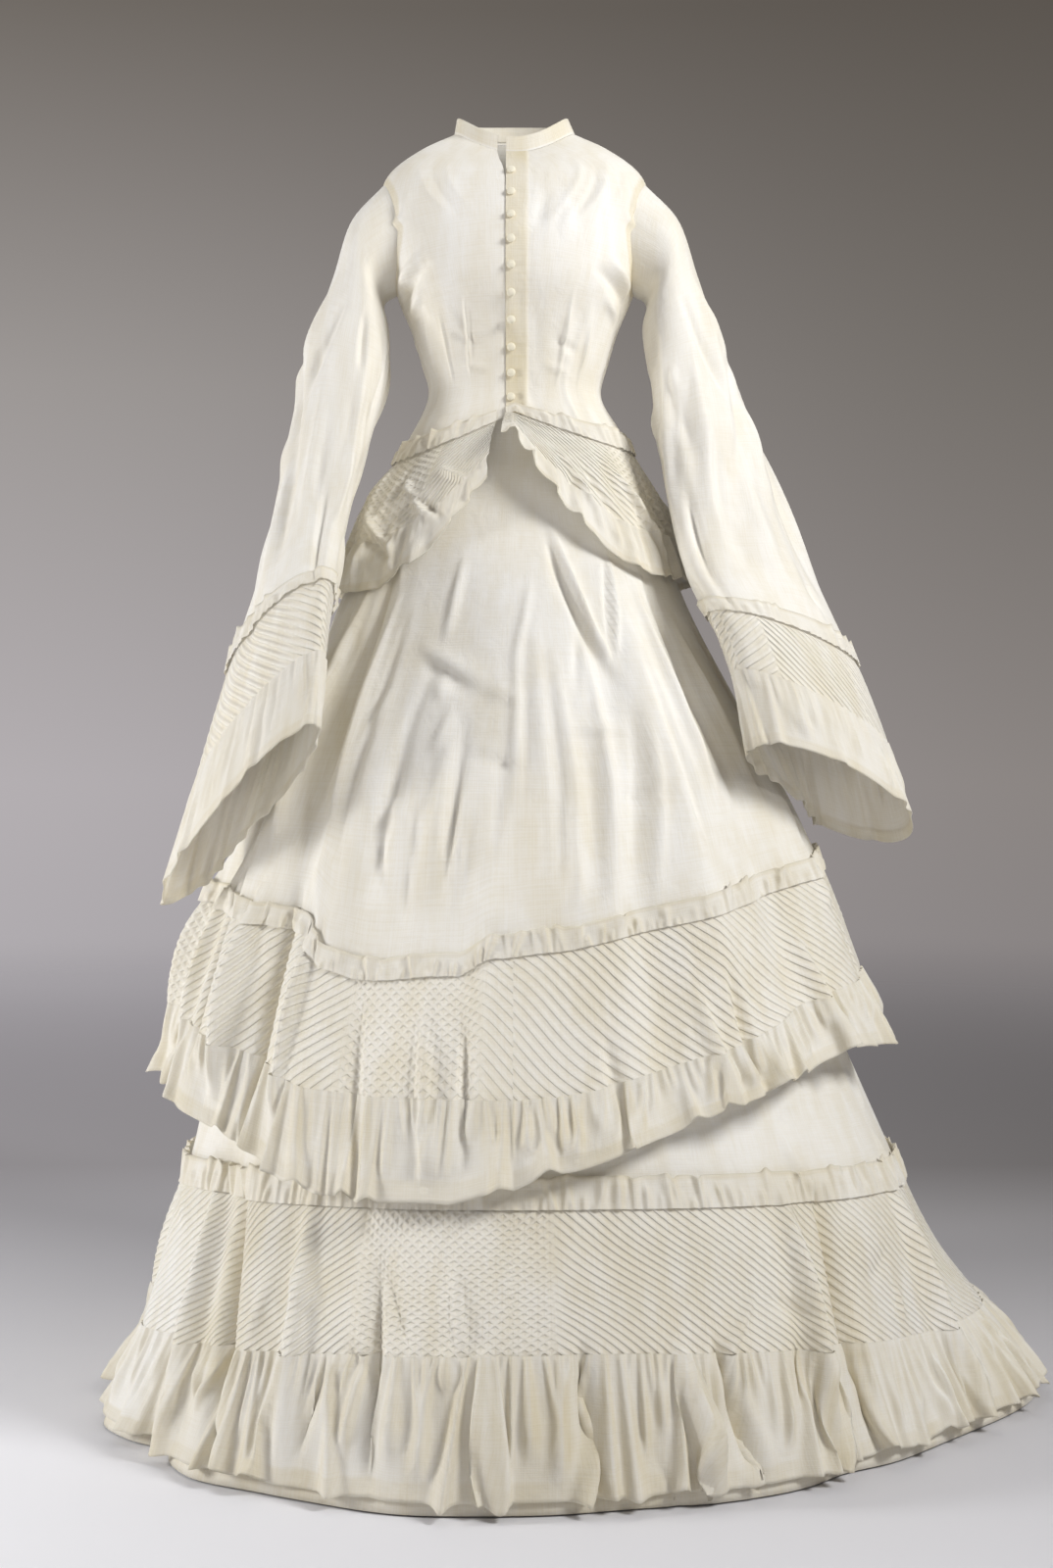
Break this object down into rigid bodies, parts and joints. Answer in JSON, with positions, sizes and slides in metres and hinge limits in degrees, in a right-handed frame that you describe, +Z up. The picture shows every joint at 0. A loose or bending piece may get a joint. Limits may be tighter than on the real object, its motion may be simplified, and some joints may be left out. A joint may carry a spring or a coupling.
{
  "type": "wedding dress",
  "caption": "Historic two-piece wedding dress in sheer white cotton with bell sleeves, draped overskirt, tucked bands, frills and a train.",
  "frame": {"origin": "midway between the shoulder tips, where the wearer's shoulders hold the dress; the floor is at z = -1.400", "axes": "+X to the wearer's left, +Y to the wearer's back, +Z up; the front faces -Y"},
  "size_m": [1.0891, 1.366, 1.4839],
  "materials": {
    "sheer_lawn": "sheer ivory cotton",
    "tucked_lawn": "sheer ivory cotton laid in fine tucks",
    "frilled_lawn": "sheer ivory cotton, gathered and hemmed",
    "covered_button": "thread-covered, slightly glossy"
  },
  "bodies": {
    "root": {"bodice_back_left": "sheer_lawn", "bodice_back_right": "sheer_lawn", "bodice_front_left": "sheer_lawn", "bodice_front_right": "sheer_lawn", "bodice_side_back_left": "sheer_lawn", "bodice_side_back_right": "sheer_lawn", "button_01": "covered_button", "button_02": "covered_button", "button_03": "covered_button", "button_04": "covered_button", "button_05": "covered_button", "button_06": "covered_button", "button_07": "covered_button", "button_08": "covered_button", "button_09": "covered_button", "button_10": "covered_button", "collar": "tucked_lawn", "front_placket": "sheer_lawn", "overskirt_back": "sheer_lawn", "overskirt_band": "tucked_lawn", "overskirt_frill": "frilled_lawn", "overskirt_front": "sheer_lawn", "overskirt_heading": "frilled_lawn", "peplum_band": "tucked_lawn", "peplum_frill": "frilled_lawn", "peplum_heading": "frilled_lawn", "sleeve_band_left": "tucked_lawn", "sleeve_band_right": "tucked_lawn", "sleeve_frill_left": "frilled_lawn", "sleeve_frill_right": "frilled_lawn", "sleeve_heading_left": "frilled_lawn", "sleeve_heading_right": "frilled_lawn", "sleeve_left": "sheer_lawn", "sleeve_right": "sheer_lawn", "underskirt_back_left": "sheer_lawn", "underskirt_back_right": "sheer_lawn", "underskirt_band": "tucked_lawn", "underskirt_flounce": "frilled_lawn", "underskirt_front": "sheer_lawn", "underskirt_heading": "frilled_lawn", "underskirt_side_left": "sheer_lawn", "underskirt_side_right": "sheer_lawn"}
  },
  "joints": []
}
